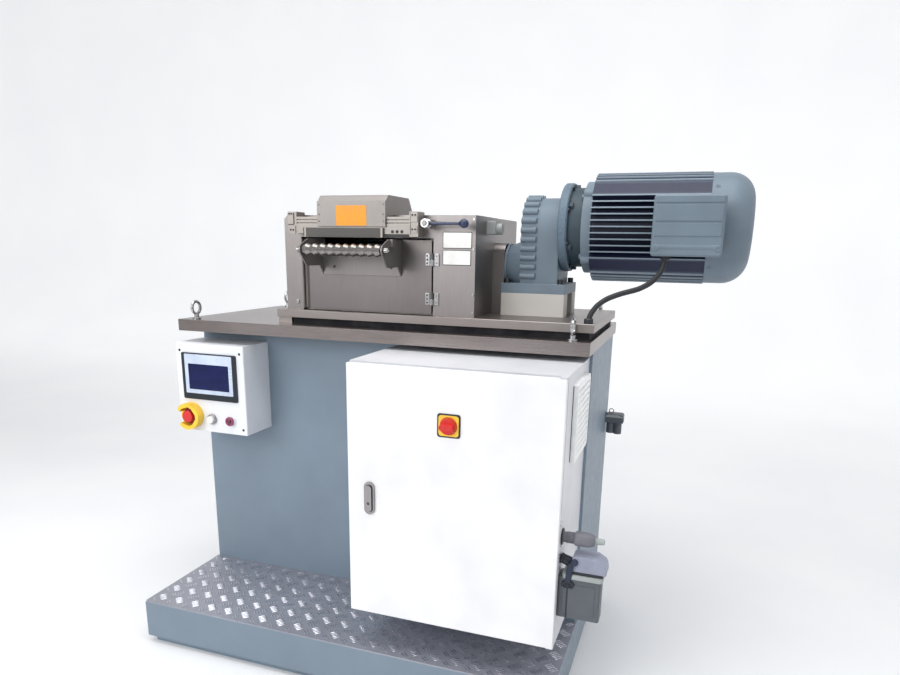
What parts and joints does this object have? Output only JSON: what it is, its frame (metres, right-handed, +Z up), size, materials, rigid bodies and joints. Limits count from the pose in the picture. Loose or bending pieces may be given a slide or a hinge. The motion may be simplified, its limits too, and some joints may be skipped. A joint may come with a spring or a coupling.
{
  "type": "strand pelletizer",
  "caption": "Strand pelletizing machine: cutting head and geared motor on a stainless worktop, with pedestal, operator box, switch cabinet and tread plate platform.",
  "frame": {"origin": "centre of the platform's underside, on the floor", "axes": "+X to the operator's right, along the motor; +Y to the back; +Z up"},
  "size_m": [1.757, 0.8865, 1.521],
  "materials": {
    "machine_paint": "semi-gloss paint",
    "tread_metal": "satin tread plate",
    "stainless": "brushed",
    "black_rubber": "matte",
    "bed_steel": "ground",
    "bright_steel": "polished",
    "rail_metal": "anodised",
    "black_plastic": "matte",
    "grey_plastic": "matte",
    "gear_paint": "semi-gloss paint",
    "cable_jacket": "matte",
    "white_paint": "fine texture paint",
    "white_plastic": "gloss",
    "yellow_plastic": "gloss",
    "red_plastic": "gloss"
  },
  "bodies": {
    "frame": {"base_platform": "machine_paint", "tread_plate": "tread_metal", "pedestal": "machine_paint", "worktop": "stainless", "rubber_mat": "black_rubber", "bed_plate": "bed_steel", "front_eyes": "bright_steel", "rear_eyes": "bright_steel", "head_housing": "stainless", "head_hinges": "stainless", "crossbar": "rail_metal", "rail_blocks": "bed_steel", "feed_hood": "stainless", "strand_strip": "black_plastic", "hood_switch": "grey_plastic", "cutting_rotor": "bright_steel", "coupling_guard": "stainless", "gear_stand": "bed_steel", "gear_case": "gear_paint", "gear_cover": "gear_paint", "motor_shield": "gear_paint", "motor_stator": "gear_paint", "fan_cover": "gear_paint", "terminal_box": "gear_paint", "cable_glands": "grey_plastic", "motor_cable": "cable_jacket", "operator_box": "white_paint", "screen_panel": "grey_plastic", "stop_collar": "yellow_plastic", "cabinet_body": "white_paint", "mounting_plate": "bed_steel", "vent_grille": "grey_plastic", "side_plug": "grey_plastic", "power_connector": "grey_plastic", "rear_fitting": "grey_plastic"},
    "head_door": {"head_door": "stainless", "strand_infeed": "stainless"},
    "guide_roller": {"guide_roller": "bright_steel"},
    "clamp_lever": {"clamp_lever": "bright_steel"},
    "cabinet_door": {"cabinet_door": "white_paint", "door_lock": "grey_plastic", "switch_plate": "yellow_plastic"},
    "switch_handle": {"switch_handle": "red_plastic"},
    "stop_button": {"stop_button": "red_plastic"},
    "push_button": {"push_button": "white_plastic"}
  },
  "joints": [
    {"name": "head_door_hinge", "type": "hinge", "parent": "frame", "child": "head_door", "pos_m": [0.1965, -0.101, 1.213], "axis": [0, 0, 1], "range_deg": [0, 100]},
    {"name": "roller_spin", "type": "hinge", "parent": "head_door", "child": "guide_roller", "pos_m": [-0.0375, -0.218, 1.289], "axis": [1, 0, 0], "continuous": true},
    {"name": "clamp_lever_pivot", "type": "hinge", "parent": "frame", "child": "clamp_lever", "pos_m": [0.193, -0.1385, 1.367], "axis": [0, -1, 0], "range_deg": [0, 90]},
    {"name": "cabinet_door_hinge", "type": "hinge", "parent": "frame", "child": "cabinet_door", "pos_m": [0.664, -0.402, 0.63], "axis": [0, 0, 1], "range_deg": [0, 120]},
    {"name": "main_switch_turn", "type": "hinge", "parent": "cabinet_door", "child": "switch_handle", "pos_m": [0.368, -0.415, 0.85], "axis": [0, 1, 0], "range_deg": [0, 90]},
    {"name": "stop_button_press", "type": "slide", "parent": "frame", "child": "stop_button", "axis": [0, 1, 0], "range_m": [0, 0.005], "stiffness_N_per_m": 800},
    {"name": "push_button_press", "type": "slide", "parent": "frame", "child": "push_button", "axis": [0, 1, 0], "range_m": [0, 0.004], "stiffness_N_per_m": 500}
  ]
}
